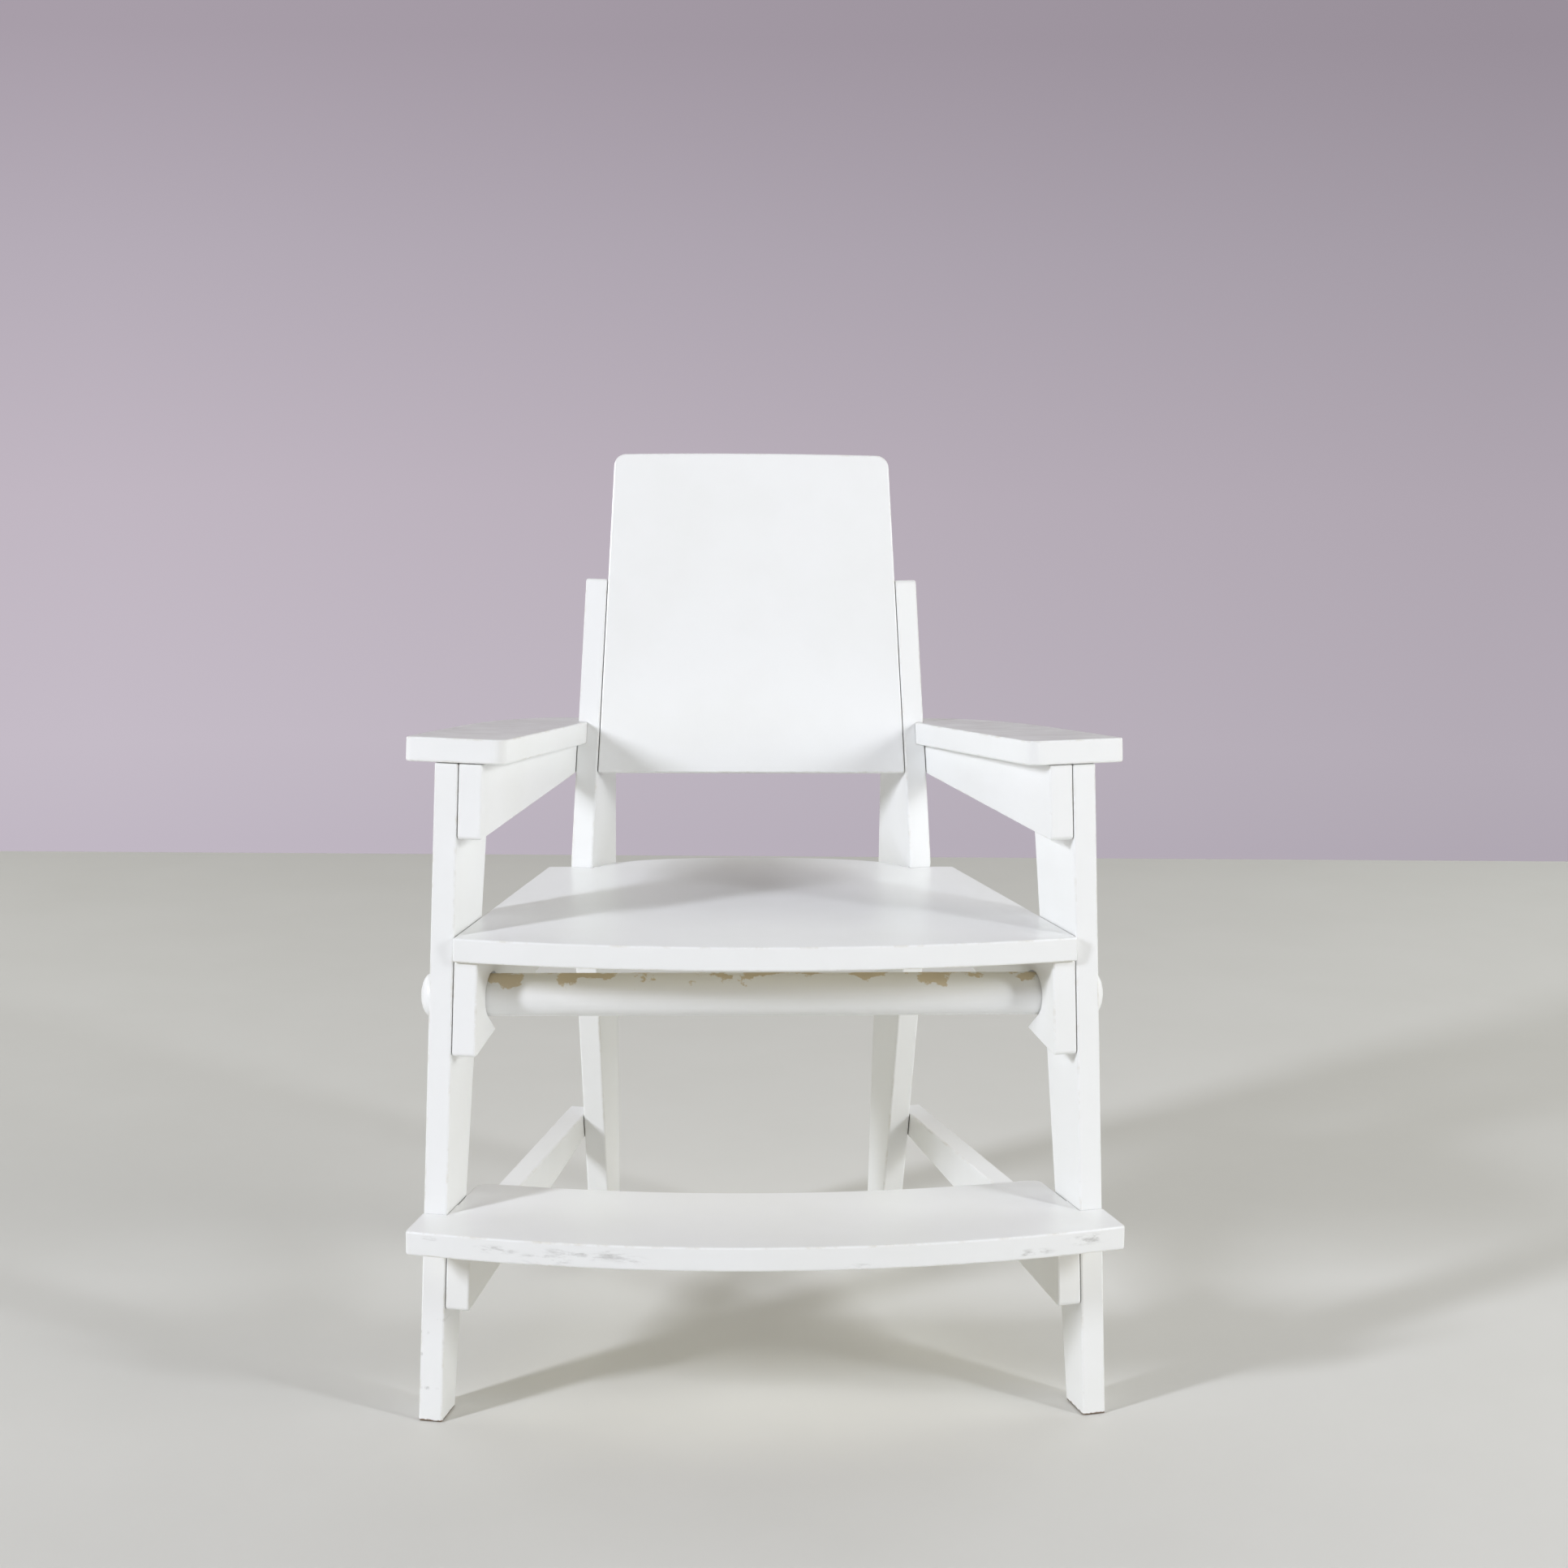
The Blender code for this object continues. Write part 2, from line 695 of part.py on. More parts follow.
def pins(name, faces, parts):
    """The pins of one kind of joint, left and right, which share their mesh."""
    shape = cylinder(PIN_DIA / 2, PIN_LENGTH, PIN_SIDES)
    mesh = bpy.data.meshes.new(name)
    shape.to_mesh(mesh)
    shape.free()
    for k, face in enumerate(faces):
        for side, place in (("left", face), ("right", MIRROR @ face @ MIRROR)):
            obj = new_object(f"{name}_{k + 1}_{side}", mesh, place, parts)
    paint(obj, name + "_beech", BEECH, 0.6)


# Cutters.

def leg_cutter(cutters):
    """The front leg with its clearance, long enough to notch the foot board."""
    low = 0.0
    high = SEAT_HEIGHT
    points = [
        (leg_front(low) - CLEAR, low),
        (leg_back(low) + CLEAR, low),
        (leg_back(high) + CLEAR, high),
        (leg_front(high) - CLEAR, high),
    ]
    mesh = outline_mesh("front_leg_space", points, BOARD + CLEAR + OVERRUN)
    place = side_matrix() @ Matrix.Translation(((BOARD + CLEAR - OVERRUN) / 2, 0.0, 0.0))
    return cutter_object("front_leg_space", mesh, place @ ON_EDGE, cutters)


def post_cutter(cutters):
    """The rear leg with its clearance, to notch the seat and the arm board."""
    mesh = outline_mesh("rear_leg_space", rear_leg_outline(CLEAR), BOARD + 2 * CLEAR)
    return cutter_object("rear_leg_space", mesh, upright(POST_IN), cutters)


def bar_matrix():
    place = Matrix.Translation((0.0, BAR_BACK - CENTRE_BACK, BAR_HEIGHT))
    return place @ Matrix.Rotation(math.pi / 2, 4, "Y")


def slot_cutter(cutters):
    """Round-ended slot along the bar that opens down and back through the rail's edge."""
    radius = BAR_DIA / 2 + SLOT_ROOM
    aim = math.atan2(math.sin(SLOT_DROP), math.cos(SLOT_DROP) * COS)
    points = []
    for k in range(BAR_SIDES // 2 + 1):
        turn = math.pi * (0.5 + k / (BAR_SIDES // 2)) - aim
        points.append((radius * math.cos(turn), radius * math.sin(turn)))
    along = Vector((math.cos(aim), -math.sin(aim))) * SEAT_RAIL_DEPTH / math.sin(SLOT_DROP)
    last = Vector(points[-1]) + along
    first = Vector(points[0]) + along
    points += [tuple(last), tuple(first)]
    mesh = outline_mesh("hook_slot", points, INSIDE + OVERRUN)
    x = side_x(BAR_BACK, RAIL_IN + BOARD / 2)
    place = Matrix.Translation((x, BAR_BACK - CENTRE_BACK, BAR_HEIGHT))
    return cutter_object("hook_slot", mesh, place @ ON_EDGE, cutters)


def bar_cutter(cutters):
    """Hole for the cross bar in the front leg."""
    shape = cylinder(BAR_DIA / 2 + CLEAR, BAR_SPAN + 2 * OVERRUN, BAR_SIDES)
    mesh = joined("bar_hole", [shape], [Matrix.Identity(4)])
    shape.free()
    return cutter_object("bar_hole", mesh, bar_matrix(), cutters)


def cross_bar(parts):
    """Round bar turned from a profile, with a low dome at each end."""
    straight = BAR_SPAN / 2 - BAR_DOME
    dome = []
    for k in range(DOME_STEPS + 1):
        turn = math.pi / 2 * k / DOME_STEPS
        dome.append((BAR_DIA / 2 * math.sin(turn), straight + BAR_DOME * math.cos(turn)))
    profile = dome + [(r, -z) for r, z in reversed(dome)]
    shape = bmesh.new()
    line = [shape.verts.new((r, 0.0, z)) for r, z in profile]
    for a, b in zip(line, line[1:]):
        shape.edges.new((a, b))
    mesh = bpy.data.meshes.new("cross_bar")
    shape.to_mesh(mesh)
    shape.free()
    obj = new_object("cross_bar", mesh, bar_matrix(), parts)
    turn = obj.modifiers.new("turned", "SCREW")
    turn.axis = "Z"
    turn.steps = BAR_SIDES
    turn.render_steps = BAR_SIDES
    turn.use_merge_vertices = True
    turn.merge_threshold = WELD
    obj.data = baked(obj)
    obj.modifiers.clear()
    obj.data.shade_smooth()
    obj.data.set_sharp_from_angle(angle=EDGE_ANGLE)
    paint(obj, "cross_bar_paint", WHITE, 0.4)
    return obj


def back_panel(parts):
    """Panel between the posts: its side edges lie on the side frames' planes."""
    tilt = panel_tilt()
    place = Matrix.Translation((0.0, panel_front(PANEL_BOTTOM) - CENTRE_BACK, PANEL_BOTTOM))
    place = place @ Matrix.Rotation(math.pi / 2 - tilt, 4, "X")
    place = place @ Matrix.Translation((0.0, 0.0, -BOARD / 2))
    mesh = outline_mesh("back_panel", panel_outline(), BOARD)
    for vert in mesh.vertices:
        depth = BOARD / 2 - vert.co.z
        front = panel_front(PANEL_BOTTOM) + vert.co.y * math.sin(tilt)
        vert.co.x *= panel_half(front + depth * math.cos(tilt)) / panel_half(front)
    obj = new_object("back_panel", mesh, place, parts)
    soften(obj)
    paint(obj, "back_panel_paint", WHITE, 0.36)
    return obj


def arm_board(parts):
    place = arm_matrix() @ Matrix.Translation((0.0, 0.0, BOARD / 2))
    return board("arm_board_left", arm_outline(), place, parts)


def build():
    for obj in list(bpy.data.objects):
        bpy.data.objects.remove(obj)
    parts = bpy.data.collections.new("kids_chair")
    cutters = bpy.data.collections.new("kids_chair_cutters")
    bpy.context.scene.collection.children.link(parts)
    bpy.context.scene.collection.children.link(cutters)

    front_leg = board("front_leg_left", front_leg_outline(), upright(0.0), parts)
    rear_leg = board("rear_leg_left", rear_leg_outline(), upright(POST_IN), parts)
    arm_rail = board("arm_rail_left", arm_rail_outline(), upright(RAIL_IN), parts)
    seat_rail = board("seat_rail_left", seat_rail_outline(), upright(RAIL_IN), parts)
    foot_rail = board("foot_rail_left", foot_rail_outline(), upright(RAIL_IN), parts)
    arm = arm_board(parts)
    seat = board("seat_board", seat_outline(), flat(SEAT_HEIGHT), parts)
    step = board("foot_board", step_outline(), flat(STEP_HEIGHT), parts)
    panel = back_panel(parts)

    leg_space = leg_cutter(cutters)
    post_space = post_cutter(cutters)
    cut(arm, post_space)
    cut(front_leg, bar_cutter(cutters))
    cut(seat_rail, slot_cutter(cutters))
    for obj, space in ((step, leg_space), (seat, post_space)):
        cut(obj, space)
        twin = cutter_object(
            space.name + "_right", joined(space.name, [from_object(space)], [MIRROR]),
            Matrix.Identity(4), cutters)
        flip(twin.data)
        cut(obj, twin)

    groups = (
        ("arm_rail_pin", arm_rail_pins(), (front_leg, rear_leg, arm_rail), ()),
        ("seat_rail_pin", seat_rail_pins(), (front_leg, rear_leg, seat_rail), ()),
        ("foot_rail_pin", foot_rail_pins(), (front_leg, rear_leg, foot_rail), ()),
        ("arm_board_pin", arm_board_pins(), (arm, arm_rail, front_leg), ()),
        ("seat_board_pin", seat_pins(), (seat_rail,), (seat,)),
        ("foot_board_pin", step_pins(), (foot_rail,), (step,)),
        ("back_panel_pin", panel_pins(), (rear_leg,), (panel,)),
    )
    for name, faces, one_side, shared in groups:
        drill(name + "_holes", one_side, faces, cutters)
        if shared:
            both = list(faces) + [MIRROR @ face @ MIRROR for face in faces]
            drill(name + "_holes_both", shared, both, cutters)
        pins(name, faces, parts)

    cross_bar(parts)
    for obj in (front_leg, rear_leg, arm_rail, seat_rail, foot_rail, arm):
        mirrored(obj, obj.name.replace("_left", "_right"), parts)


build()
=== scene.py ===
"""Looks of the white painted kids chair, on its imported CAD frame.

Every length here is in metres and in the frame's own coordinates: +Z up, the
sitter faces -Y, and the floor is z = 0.
"""

import math

import bpy
import numpy as np
from mathutils import Matrix, Vector


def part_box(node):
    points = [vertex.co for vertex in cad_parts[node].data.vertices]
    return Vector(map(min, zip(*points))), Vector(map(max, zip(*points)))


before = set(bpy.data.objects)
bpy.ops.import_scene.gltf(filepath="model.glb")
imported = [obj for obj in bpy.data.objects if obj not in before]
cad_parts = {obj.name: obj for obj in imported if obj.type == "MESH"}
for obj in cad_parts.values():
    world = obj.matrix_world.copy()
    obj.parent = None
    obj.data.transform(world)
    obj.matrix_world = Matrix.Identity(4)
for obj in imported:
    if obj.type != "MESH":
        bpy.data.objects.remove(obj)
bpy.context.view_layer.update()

MM = 0.001

# Directions of the boards, from the part: the side frames turn in towards the back,
# the arm boards drop towards the back and the panel leans back with its posts.
TURN_IN = math.radians(13.85)
ARM_DROP = math.radians(5.8)
POST_RAKE = math.radians(12.3)


def rgb(code):
    """Linear colour of an sRGB hex value."""
    parts = [int(code[i:i + 2], 16) / 255 for i in (1, 3, 5)]
    return tuple(c / 12.92 if c <= 0.04045 else ((c + 0.055) / 1.055) ** 2.4 for c in parts)


def rgba(code):
    """Linear colour of an sRGB hex value, opaque."""
    return (*rgb(code), 1.0)


def add(tree, kind, inputs=None, **settings):
    """Adds a node: its attributes by name, and each input's value or the socket it takes."""
    node = tree.nodes.new(kind)
    for name, value in settings.items():
        setattr(node, name, value)
    for key, value in (inputs or {}).items():
        if isinstance(value, bpy.types.NodeSocket):
            tree.links.new(value, node.inputs[key])
        else:
            node.inputs[key].default_value = value
    return node


def math_of(tree, operation, *values):
    """The result of a maths node on values or sockets."""
    node = add(tree, "ShaderNodeMath", dict(enumerate(values)), operation=operation)
    return node.outputs[0]


def vector_of(tree, operation, *values, result="Vector"):
    """The result of a vector maths node, as its vector or its value."""
    node = add(tree, "ShaderNodeVectorMath", dict(enumerate(values)), operation=operation)
    return node.outputs[result]


def noise(tree, where, grain, detail, roughness=0.5):
    """Noise whose grain is a length, with its detail and roughness."""
    return add(tree, "ShaderNodeTexNoise", {
        "Vector": where, "Scale": 1 / grain, "Detail": detail, "Roughness": roughness,
    }).outputs[0]


def ramp(tree, value, start, end, low=0.0, high=1.0, **settings):
    """The value spread so that start gives low and end gives high."""
    return add(tree, "ShaderNodeMapRange", {
        "Value": value, "From Min": start, "From Max": end, "To Min": low, "To Max": high,
    }, **settings).outputs[0]


def over(tree, share, colour, code):
    """The colour with a share of the sRGB code laid over it."""
    return add(tree, "ShaderNodeMix", {0: share, 6: colour, 7: rgba(code)},
               data_type="RGBA").outputs[2]


def new_material(name):
    """An empty node material with its output, as (material, tree, output)."""
    material = bpy.data.materials.new(name)
    material.use_nodes = True
    tree = material.node_tree
    tree.nodes.clear()
    return material, tree, tree.nodes.new("ShaderNodeOutputMaterial")


# Camera, at the photograph's place and angle. The focal length, in pixels, was given.
# It and the centre column were held while the place and the angles were fitted.

PICTURE = 1932
FOCAL = 3530.5
CENTRE_COLUMN = 956.8
YAW, PITCH, ROLL = 0.054663, 0.175758, 0.010709
EYE = Vector((-0.10589, -2.16822, 0.83530))
SENSOR_WIDTH = 36.0
NEAR = 0.05


def place_camera():
    """Looks along the yaw and pitch, level line turned by the roll."""
    ahead = Vector((math.sin(YAW) * math.cos(PITCH), math.cos(YAW) * math.cos(PITCH),
                    -math.sin(PITCH)))
    level = Vector((math.cos(YAW), -math.sin(YAW), 0.0))
    above = level.cross(ahead)
    right = math.cos(ROLL) * level + math.sin(ROLL) * above
    top = -math.sin(ROLL) * level + math.cos(ROLL) * above
    lens = bpy.data.cameras.new("camera")
    lens.sensor_width = SENSOR_WIDTH
    lens.lens = FOCAL / PICTURE * lens.sensor_width
    lens.shift_x = (PICTURE / 2 - CENTRE_COLUMN) / PICTURE
    lens.clip_start = NEAR
    camera = bpy.data.objects.new("camera", lens)
    bpy.context.scene.collection.objects.link(camera)
    rows = [(right[i], top[i], -ahead[i], EYE[i]) for i in range(3)] + [(0.0, 0.0, 0.0, 1.0)]
    camera.matrix_world = Matrix(rows)
    bpy.context.scene.camera = camera


# Studio: two narrow keys from the front sides, wide and nearly neutral fills round the
# chair and above it, a faint warm glow of the room, a plain pale floor with a straight
# rear edge, and a pale mauve backdrop.

AIM_HEIGHT = 0.15
LAMPS = [
    # name, turn from the front, rise, distance, width, height, power, colour
    ("key_left", -56, 27.5, 4.5, 0.36, 0.95, 122.0, "#EFF3FF"),
    ("key_right", 53, 27.5, 2.7, 0.2, 0.6, 19.7, "#F2F7FF"),
    ("fill_right", 68, 22, 3.0, 1.5, 1.5, 27.5, "#FFFDF8"),
    ("fill_left", -68, 22, 3.0, 1.5, 1.5, 10.0, "#FFFBE6"),
    ("front_low", 15, 8, 3.0, 2.0, 2.0, 6.5, "#FFFFFF"),
    ("rear_right", 130, 30, 3.0, 2.0, 2.0, 21.0, "#FAFFFD"),
    ("rear_left", -130, 30, 3.0, 2.0, 2.0, 17.5, "#FBFFFA"),
    ("rear_high", 180, 45, 3.0, 2.0, 2.0, 7.5, "#FFFFFF"),
    ("above", 0, 90, 2.7, 2.0, 2.0, 1.5, "#FAFCFF"),
]
ROOM_GLOW = 0.065
ROOM_COLOUR = "#FFE3C0"

# Backdrop colours by the rise of the line of sight, darker higher up as a painted fall in
# light on the wall, and its fall in light to the right, each end of it as the line of
# sight's sideways share and the light there.
BACKDROP_SHADE_STEPS = [
    (-0.193, "#C1B8C4"),
    (-0.159, "#C5BCC7"),
    (-0.075, "#C1B7C2"),
    (0.008, "#B5ACB7"),
    (0.078, "#A89EA9"),
]
BACKDROP_LEFT = (-0.178, 1.0)
BACKDROP_RIGHT = (0.29, 0.815)

FLOOR_PALE = "#DDDCD8"
FLOOR_GREY = "#D6D5D0"
FLOOR_SIDE = 2.6
FLOOR_REAR = 1.93
FLOOR_REAR_TURN = math.radians(-1.95)
FLOOR_GRID = (53, 49)
FLOOR_CLOUD = (200.0 * MM, 4.0, 0.55)
FLOOR_ROUGH = 0.7
FLOOR_SPECULAR = 0.3


def soft_lamp(name, turn, rise, far, width, height, power, colour):
    """A flat lamp aimed at the chair from its turn, rise and distance."""
    turn, rise = math.radians(turn), math.radians(rise)
    aim = Vector((0.0, 0.0, AIM_HEIGHT))
    way = Vector((math.cos(rise) * math.sin(turn), -math.cos(rise) * math.cos(turn),
                  math.sin(rise)))
    lamp = bpy.data.lights.new(name, "AREA")
    lamp.shape = "RECTANGLE"
    lamp.size, lamp.size_y = width, height
    lamp.energy = power
    lamp.color = rgb(colour)
    obj = bpy.data.objects.new(name, lamp)
    bpy.context.scene.collection.objects.link(obj)
    obj.location = aim + far * way
    obj.rotation_euler = (-way).to_track_quat("-Z", "Y").to_euler()
    obj.visible_camera = False


def studio():
    """The lamps, the room's glow, and a backdrop that only the camera and gloss see."""
    for row in LAMPS:
        soft_lamp(*row)
    world = bpy.data.worlds.new("studio")
    bpy.context.scene.world = world
    world.use_nodes = True
    tree = world.node_tree
    tree.nodes.clear()
    rays = add(tree, "ShaderNodeLightPath").outputs
    seen = math_of(tree, "MAXIMUM", rays["Is Camera Ray"], rays["Is Glossy Ray"])
    seen = math_of(tree, "MAXIMUM", seen, rays["Is Transmission Ray"])
    way = add(tree, "ShaderNodeTexCoord").outputs["Generated"]
    sight = add(tree, "ShaderNodeSeparateXYZ", {0: way}).outputs
    # The backdrop's light is painted: darker upwards by its colour steps, dimmer to the right by
    # its strength.
    low, high = BACKDROP_SHADE_STEPS[0][0], BACKDROP_SHADE_STEPS[-1][0]
    wall = add(tree, "ShaderNodeValToRGB", {0: ramp(tree, sight["Z"], low, high)})
    stops = wall.color_ramp.elements
    for k, (height, code) in enumerate(BACKDROP_SHADE_STEPS):
        share = (height - low) / (high - low)
        stop = stops[0] if k == 0 else stops[-1] if share == 1.0 else stops.new(share)
        stop.position = share
        stop.color = rgba(code)
    (left, bright), (right, dim) = BACKDROP_LEFT, BACKDROP_RIGHT
    light = ramp(tree, sight["X"], left, right, bright, dim)
    room = add(tree, "ShaderNodeBackground", {"Color": rgba(ROOM_COLOUR), "Strength": ROOM_GLOW})
    shown = add(tree, "ShaderNodeBackground", {"Color": wall.outputs[0], "Strength": light})
    mix = add(tree, "ShaderNodeMixShader", {0: seen, 1: room.outputs[0], 2: shown.outputs[0]})
    add(tree, "ShaderNodeOutputWorld", {0: mix.outputs[0]})


def floor():
    """Flat grid on z = 0, sheared so that its rear edge is a straight line turned a little."""
    wide, deep = FLOOR_GRID
    across = np.linspace(-FLOOR_SIDE, FLOOR_SIDE, wide)
    share = np.linspace(0.0, 1.0, deep)
    x, s = np.meshgrid(across, share, indexing="ij")
    rear = FLOOR_REAR + x * math.tan(FLOOR_REAR_TURN)
    y = -FLOOR_SIDE + s * (rear + FLOOR_SIDE)
    points = np.stack([x, y, np.zeros_like(x)], axis=-1).reshape(-1, 3)
    i, j = np.meshgrid(np.arange(wide - 1), np.arange(deep - 1), indexing="ij")
    first = i * deep + j
    quads = np.stack([first, first + deep, first + deep + 1, first + 1], axis=-1)
    mesh = bpy.data.meshes.new("floor")
    mesh.from_pydata(points.tolist(), [], quads.reshape(-1, 4).tolist())
    obj = bpy.data.objects.new("floor", mesh)
    bpy.context.scene.collection.objects.link(obj)

    material, tree, out = new_material("pale_floor")
    where = add(tree, "ShaderNodeTexCoord").outputs["Object"]
    colour = over(tree, noise(tree, where, *FLOOR_CLOUD), rgba(FLOOR_PALE), FLOOR_GREY)
    matt = add(tree, "ShaderNodeBsdfPrincipled", {
        "Base Color": colour, "Roughness": FLOOR_ROUGH, "Specular IOR Level": FLOOR_SPECULAR,
    })
    tree.links.new(matt.outputs[0], out.inputs["Surface"])
    mesh.materials.append(material)


# Paint: satin white enamel, rolled and brushed over sanded board. It gives the eye a
# broad soft sheen and a faint stipple. It is thin and a little warm on the arrises, left
# as a yellowish first coat under the seat and the foot board, and it has a grey film on the
# arms that is hand grime with painted shade on their tops, grey rubs and small chips where
# shoes have been, worn feet, and dirt with painted shade in its joints.

WHITE_COAT = "#F5F6F5"
WHITE_THIN = "#F2F3F1"
FIRST_COAT = "#ECE6D3"
ARRIS_WARM = "#D8D3C6"
# Grey of the arm film: hand grime, and painted shade on the arms' upper faces.
HAND_GREY_SHADE = "#D6D4D2"
RUB_GREY = "#85837D"
CHIP_UNDER = "#9A8768"
FOOT_UNDER = "#7A6650"
# Dark of the joints and inner corners: dirt together with painted shade.
JOINT_SHADE_DIRT = "#4E4840"
BAR_UNDER = "#D9CCB1"

# Noises: the grain, the detail and, where it isn't the usual 0.5, the roughness.
BRUSH_WIDTH = 2.2 * MM
CLOUD = (90.0 * MM, 3.0, 0.55)
HAND_GRAIN = (35.0 * MM, 5.0, 0.6)
ARRIS_GRAIN = (22.0 * MM, 5.0, 0.7)
RUB_GRAIN = (4.0 * MM, 6.0, 0.65)
CHIP_GRAIN = (2.6 * MM, 4.0)
BAR_GRAIN = (26.0 * MM, 5.0, 0.6)
STIPPLE = (1.6 * MM, 2.0)
BRUSH = (BRUSH_WIDTH, 2.0)

# Ramps: where each starts and ends and, where it isn't 0 and 1, what it gives there.
# The faces and the arris are told by the share of the normal that runs across the board.
COAT_RAMP = (0.42, 0.72)
ROUGH_RAMP = (0.3, 0.7, 0.3, 0.35)
LOWER_FACE = (-0.8, -0.95)
UPPER_FACE = (0.9, 0.99)
FILM_SHADE_RAMP = (0.35, 0.65, 0.25, 0.8)
ARRIS_RISE = (0.1, 0.3)
ARRIS_FALL = (0.995, 0.93)
THIN_RAMP = (0.5, 0.72, 0.0, 0.6)
RUB_RAMP = (0.48, 0.68, 0.0, 0.55)
CHIP_RAMP = (0.95, 1.05)
BAR_RAMP = (2.74, 2.86)
JOINT_SHADE_RAMP = (0.6, 0.2, 0.0, 0.65)

SPOT_CORE = 0.35
RUB_DRAW = 6.0
CHIP_RAGGED = 0.9
FOOT_WEAR = 2.6 * MM
FOOT_RAMP = (FOOT_WEAR * 1.25, FOOT_WEAR * 0.9)
BAR_RAGGED = 3.6
BAR_BARE_HALF = 205.0 * MM
WORN_ROUGH = 0.3
JOINT_REACH = 1.5 * MM
JOINT_SAMPLES = 6
BRUSH_RUN = 90.0 * MM
BRUSH_SHARE = 0.6
COAT_DEPTH = 6.0
STIPPLE_RISE = 0.02 * MM
STIPPLE_STRENGTH = 0.5
PAINT_IOR = 1.5

# Beech, for the pins inside the joints.
BEECH_PALE = "#CBA77A"
BEECH_DARK = "#B58E60"
BEECH_FLECK = "#8E6540"
BEECH_STRETCH = (0.15, 1.0, 1.0)
BEECH_GRAIN = (0.8 * MM, 4.0)
FLECK_GRAIN = 1.6 * MM
FLECK_RAMP = (0.22, 0.1, 0.0, 0.5)
BEECH_RISE = 0.05 * MM
BEECH_STRENGTH = 0.4
BEECH_ROUGH = 0.62


def spot(tree, where, centre, reach):
    """1 at a place and 0 outside an ellipsoid of the given reach round it."""
    off = vector_of(tree, "SUBTRACT", where, centre)
    far = vector_of(tree, "LENGTH", vector_of(tree, "DIVIDE", off, reach), result="Value")
    return ramp(tree, far, 1.0, SPOT_CORE, interpolation_type="SMOOTHSTEP")


def spots(tree, where, places):
    """The greatest of the spots at the places, each given as (centre, reach)."""
    most = spot(tree, where, *places[0])
    for place in places[1:]:
        most = math_of(tree, "MAXIMUM", most, spot(tree, where, *place))
    return most


def satin_paint(name, across, along, rubs=(), chips=(), under=False, handled=False,
                foot=False, bar=None):
    """Satin white paint on a board whose thickness runs across and whose brushing runs along.

    Rubs and chips are places with their reach. Under is a board whose lower face has only
    the first coat, handled is one whose upper face is greyed by a film that is partly hand
    grime and partly painted shade, foot is one that stands on the floor, and bar gives the
    centre and the radius of the round bar, whose top shows bare wood through ragged paint
    under the seat.
    """
    material, tree, out = new_material(name)
    where = add(tree, "ShaderNodeTexCoord").outputs["Object"]
    place = add(tree, "ShaderNodeSeparateXYZ", {0: where}).outputs
    normal = add(tree, "ShaderNodeNewGeometry").outputs["True Normal"]
    across = Vector(across).normalized()
    along = Vector(along).normalized()
    beside = across.cross(along)
    runs = [vector_of(tree, "DOT_PRODUCT", where, axis, result="Value")
            for axis in (along / RUB_DRAW, beside, across)]
    drawn = add(tree, "ShaderNodeCombineXYZ", dict(enumerate(runs))).outputs[0]

    cloud = noise(tree, where, *CLOUD)
    colour = over(tree, ramp(tree, cloud, *COAT_RAMP), rgba(WHITE_COAT), WHITE_THIN)
    rough = ramp(tree, cloud, *ROUGH_RAMP)

    lean = vector_of(tree, "DOT_PRODUCT", normal, across, result="Value")
    if under:
        colour = over(tree, ramp(tree, lean, *LOWER_FACE), colour, FIRST_COAT)
    # The upper faces of the arm boards get a grey film: hand grime, and painted shade of the
    # tops.
    if handled:
        film_shade = ramp(tree, noise(tree, where, *HAND_GRAIN), *FILM_SHADE_RAMP)
        film_shade = math_of(tree, "MULTIPLY", film_shade, ramp(tree, lean, *UPPER_FACE))
        colour = over(tree, film_shade, colour, HAND_GREY_SHADE)

    # Arrises: a board's rounded edges are its only faces neither square to nor along its
    # thickness.
    if bar is None:
        tilt = math_of(tree, "ABSOLUTE", lean)
        arris = math_of(tree, "MULTIPLY", ramp(tree, tilt, *ARRIS_RISE),
                        ramp(tree, tilt, *ARRIS_FALL))
        worn = ramp(tree, noise(tree, where, *ARRIS_GRAIN), *THIN_RAMP)
        thin = math_of(tree, "MULTIPLY", arris, worn)
        colour = over(tree, thin, colour, ARRIS_WARM)

    # Rubs: grey scuffs inside the places given, drawn out along the board.
    if rubs:
        smear = ramp(tree, noise(tree, drawn, *RUB_GRAIN), *RUB_RAMP)
        rub = math_of(tree, "MULTIPLY", spots(tree, where, rubs), smear)
        colour = over(tree, rub, colour, RUB_GREY)
        rough = math_of(tree, "MULTIPLY_ADD", rub, WORN_ROUGH, rough)

    # Chips, worn feet and the bar's bare patches: gone all at once, with a ragged edge.
    gone = None
    ragged = noise(tree, where, *CHIP_GRAIN)
    if chips:
        chip = math_of(tree, "MULTIPLY_ADD", ragged, CHIP_RAGGED, spots(tree, where, chips))
        gone = ramp(tree, chip, *CHIP_RAMP)
        colour = over(tree, gone, colour, CHIP_UNDER)
    if foot:
        edge = math_of(tree, "MULTIPLY_ADD", ragged, FOOT_WEAR, place["Z"])
        gone = ramp(tree, edge, *FOOT_RAMP)
        colour = over(tree, gone, colour, FOOT_UNDER)
    if bar is not None:
        centre, radius = bar
        level = ramp(tree, place["Z"], centre, centre + radius, clamp=False)
        bare = math_of(tree, "MULTIPLY_ADD", noise(tree, where, *BAR_GRAIN), BAR_RAGGED, level)
        inside = math_of(tree, "LESS_THAN", math_of(tree, "ABSOLUTE", place["X"]), BAR_BARE_HALF)
        gone = math_of(tree, "MULTIPLY", ramp(tree, bare, *BAR_RAMP), inside)
        colour = over(tree, gone, colour, BAR_UNDER)
    if gone is not None:
        rough = math_of(tree, "MULTIPLY_ADD", gone, WORN_ROUGH, rough)

    # Dirt and painted shade where another board is close by: the occlusion darkens the joints
    # and inner corners into thin dark lines.
    sky = add(tree, "ShaderNodeAmbientOcclusion", {"Distance": JOINT_REACH},
              samples=JOINT_SAMPLES).outputs["AO"]
    colour = over(tree, ramp(tree, sky, *JOINT_SHADE_RAMP), colour, JOINT_SHADE_DIRT)

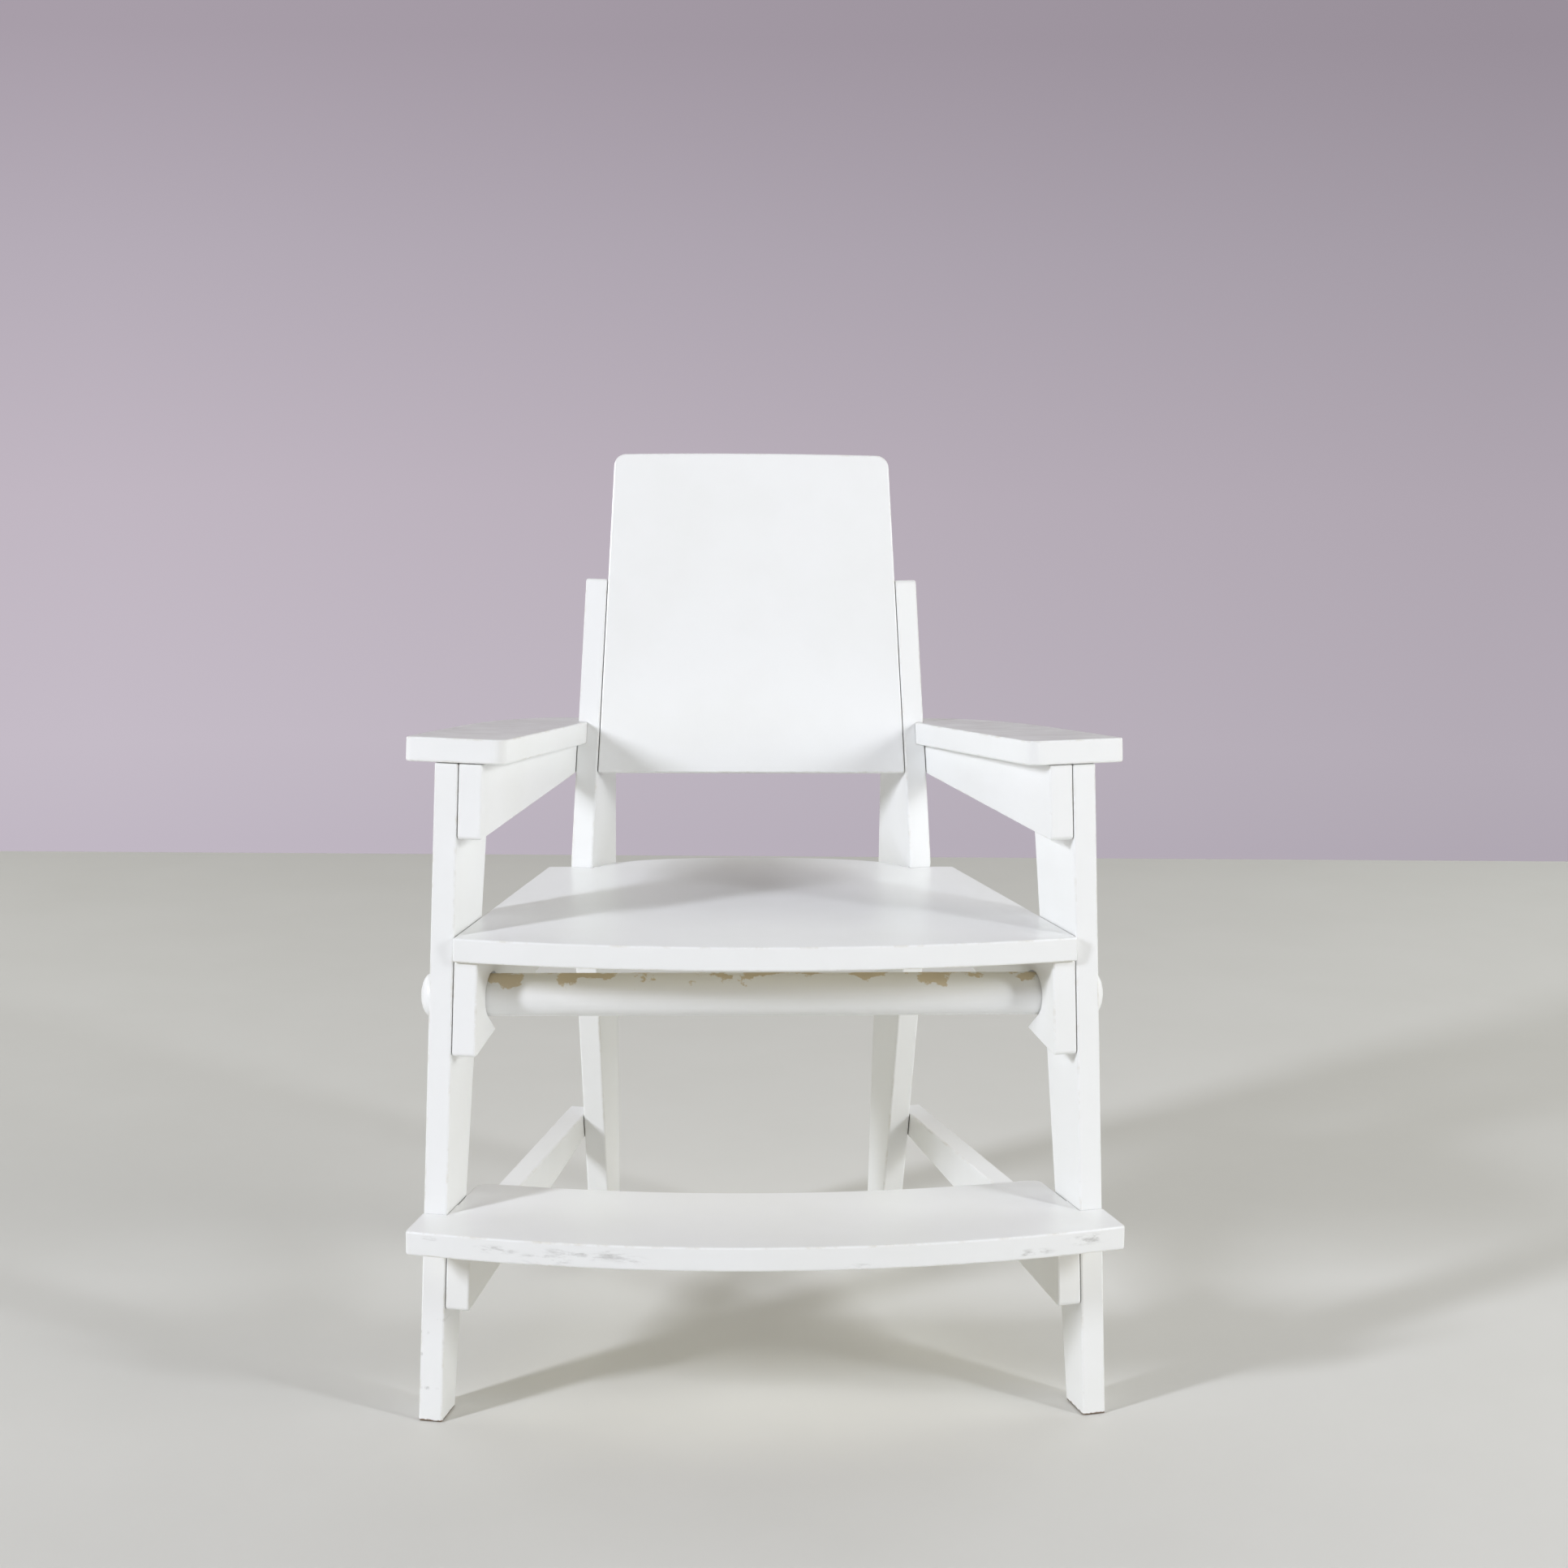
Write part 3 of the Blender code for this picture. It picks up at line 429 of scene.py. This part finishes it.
    # Relief of the stipple and the brush marks, sunk where the paint is gone.
    stretch = (BRUSH_WIDTH * RUB_DRAW / BRUSH_RUN, 1.0, 1.0)
    brush = noise(tree, vector_of(tree, "MULTIPLY", drawn, stretch), *BRUSH)
    relief = math_of(tree, "MULTIPLY_ADD", brush, BRUSH_SHARE, noise(tree, where, *STIPPLE))
    if gone is not None:
        relief = math_of(tree, "MULTIPLY_ADD", gone, -COAT_DEPTH, relief)
    bump = add(tree, "ShaderNodeBump", {
        "Height": relief, "Strength": STIPPLE_STRENGTH, "Distance": STIPPLE_RISE,
    })
    skin = add(tree, "ShaderNodeBsdfPrincipled", {
        "Base Color": colour, "Roughness": rough, "IOR": PAINT_IOR, "Normal": bump.outputs[0],
    })
    tree.links.new(skin.outputs[0], out.inputs["Surface"])
    return material


def bare_beech(name):
    """Unfinished beech dowel: fine close grain with short dark flecks, dry and matt."""
    material, tree, out = new_material(name)
    where = add(tree, "ShaderNodeTexCoord").outputs["Object"]
    drawn = add(tree, "ShaderNodeMapping", {"Vector": where, "Scale": BEECH_STRETCH}).outputs[0]
    grain = noise(tree, drawn, *BEECH_GRAIN)
    fleck = add(tree, "ShaderNodeTexVoronoi", {"Vector": drawn, "Scale": 1 / FLECK_GRAIN})
    dark = ramp(tree, fleck.outputs["Distance"], *FLECK_RAMP)
    colour = over(tree, grain, rgba(BEECH_PALE), BEECH_DARK)
    colour = over(tree, dark, colour, BEECH_FLECK)
    bump = add(tree, "ShaderNodeBump", {
        "Height": grain, "Strength": BEECH_STRENGTH, "Distance": BEECH_RISE,
    })
    wood = add(tree, "ShaderNodeBsdfPrincipled", {
        "Base Color": colour, "Roughness": BEECH_ROUGH, "Normal": bump.outputs[0],
    })
    tree.links.new(wood.outputs[0], out.inputs["Surface"])
    return material


# Places of the rubs and chips, each a centre and its reach, read off the photograph.
LEG_RUBS = [
    ((-0.2375, -0.150, 0.076), (0.007, 0.03, 0.0016)),
    ((-0.2520, -0.150, 0.066), (0.006, 0.03, 0.0022)),
    ((-0.2540, -0.152, 0.050), (0.005, 0.03, 0.0018)),
    ((-0.2480, -0.153, 0.025), (0.010, 0.03, 0.0016)),
]
LEG_CHIPS = [((0.2445, -0.1010, 0.4256), (0.003, 0.006, 0.0035))]
FOOT_BOARD_RUBS = [
    ((-0.130, -0.2125, 0.1465), (0.045, 0.02, 0.0060)),
    ((-0.160, -0.2060, 0.1415), (0.025, 0.02, 0.0055)),
    ((-0.098, -0.2240, 0.1430), (0.020, 0.02, 0.0045)),
    ((-0.244, -0.1750, 0.1500), (0.010, 0.02, 0.0030)),
    ((-0.196, -0.1960, 0.1460), (0.022, 0.02, 0.0040)),
    ((0.064, -0.2220, 0.1385), (0.014, 0.02, 0.0030)),
    ((0.232, -0.1860, 0.1470), (0.022, 0.02, 0.0055)),
    ((0.190, -0.2000, 0.1410), (0.022, 0.02, 0.0040)),
]
FOOT_BOARD_CHIPS = [((0.2590, -0.1760, 0.1505), (0.004, 0.006, 0.004))]
PANEL_RUBS = [
    ((-0.076, 0.095, 0.4640), (0.0016, 0.03, 0.0080)),
    ((-0.104, 0.150, 0.6610), (0.0030, 0.03, 0.0018)),
]


def finish_nodes():
    """Gives each CAD node the paint of its own board, and the pins their beech."""
    up = Vector((0.0, 0.0, 1.0))
    wide = Vector((1.0, 0.0, 0.0))
    coats = {}
    for side, sign in (("left", 1.0), ("right", -1.0)):
        inward = Vector((sign * math.cos(TURN_IN), -math.sin(TURN_IN), 0.0))
        back = Vector((sign * math.sin(TURN_IN), math.cos(TURN_IN), 0.0))
        marks = {"rubs": LEG_RUBS} if side == "left" else {"chips": LEG_CHIPS}
        coats[f"front_leg_{side}"] = satin_paint(f"satin_white_front_leg_{side}", inward, up,
                                                 foot=True, **marks)
        coats[f"rear_leg_{side}"] = satin_paint(f"satin_white_rear_leg_{side}", inward, up,
                                                foot=True)
        for piece in ("arm_rail", "seat_rail", "foot_rail"):
            coats[f"{piece}_{side}"] = satin_paint(f"satin_white_{piece}_{side}", inward, back)
        lid = math.sin(ARM_DROP) * back + math.cos(ARM_DROP) * up
        run = math.cos(ARM_DROP) * back - math.sin(ARM_DROP) * up
        coats[f"arm_board_{side}"] = satin_paint(f"satin_white_arm_{side}", lid, run,
                                                 handled=True)
    coats["seat_board"] = satin_paint("satin_white_seat", up, wide, under=True)
    coats["foot_board"] = satin_paint("satin_white_foot_board", up, wide, rubs=FOOT_BOARD_RUBS,
                                      chips=FOOT_BOARD_CHIPS, under=True)
    lean = math.atan(math.tan(POST_RAKE) * math.cos(TURN_IN))
    face = Vector((0.0, -math.cos(lean), math.sin(lean)))
    coats["back_panel"] = satin_paint("satin_white_panel", face, wide, rubs=PANEL_RUBS)
    low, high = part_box("cross_bar")
    radius = (high[2] - low[2]) / 2
    coats["cross_bar"] = satin_paint("satin_white_bar", up.cross(wide), wide,
                                     bar=(low[2] + radius, radius))
    beech = bare_beech("bare_beech")
    for name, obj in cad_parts.items():
        for slot in obj.material_slots:
            slot.material = coats.get(name, beech)


place_camera()
studio()
floor()
finish_nodes()

scene = bpy.context.scene
scene.view_settings.view_transform = "Standard"
